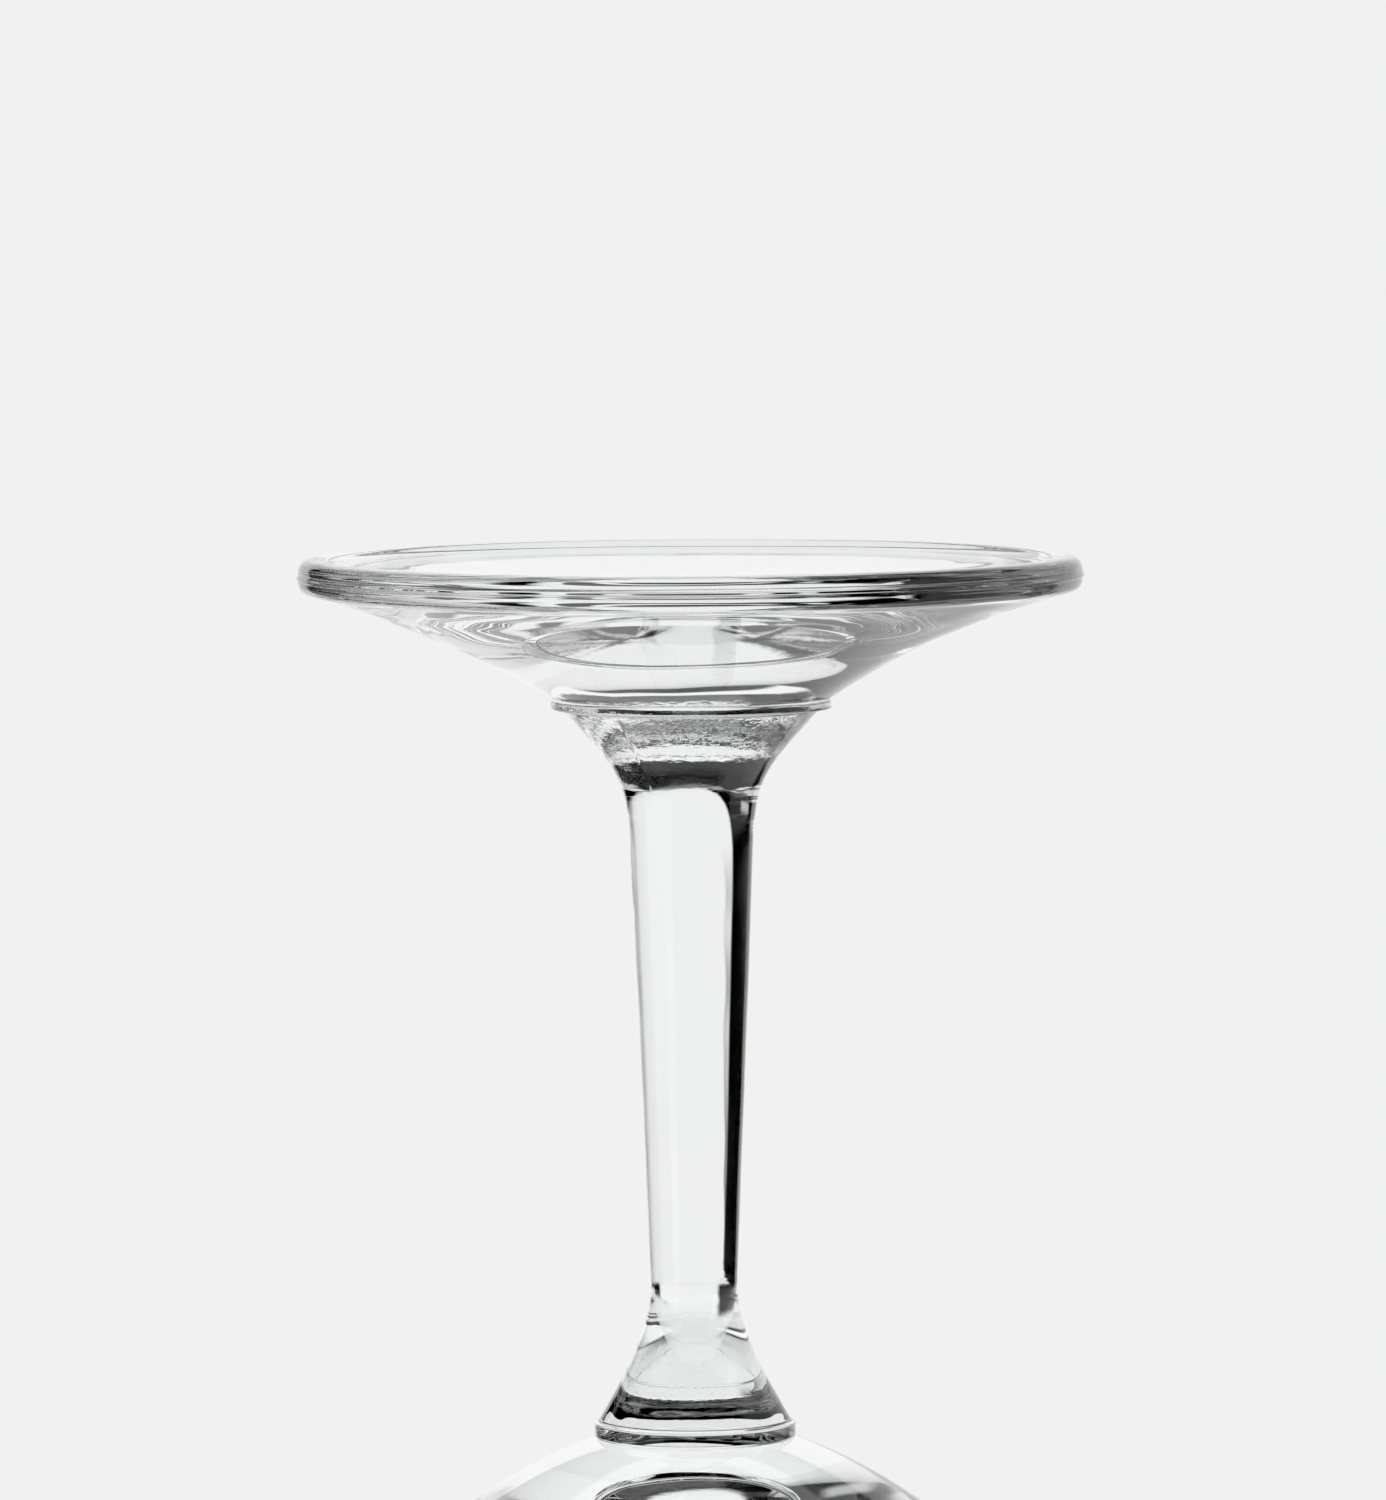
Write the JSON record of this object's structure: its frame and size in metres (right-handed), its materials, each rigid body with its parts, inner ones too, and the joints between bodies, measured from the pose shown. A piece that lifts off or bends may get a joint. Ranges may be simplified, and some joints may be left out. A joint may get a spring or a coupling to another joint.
{
  "type": "champagne saucer glass",
  "caption": "Clear glass champagne saucer standing upside down: thin round bowl with a thick bottom, tapered stem flared at both ends between two collars, and a thick dished foot.",
  "frame": {"origin": "centre of the bowl's rim, on the surface that the upturned glass stands on", "axes": "+Z is the axis of the glass, from the rim up to the foot, as it stands in the picture; +Y points away from the viewer"},
  "size_m": [0.086, 0.086, 0.1259],
  "materials": {
    "blown_glass": "thin clear blown glass, fire polished",
    "pressed_glass": "thick clear pressed glass, fire polished, faintly wavy"
  },
  "bodies": {
    "root": {"bowl": "blown_glass", "bowl_collar": "pressed_glass", "stem": "pressed_glass", "foot_collar": "pressed_glass", "foot": "pressed_glass"}
  },
  "joints": []
}
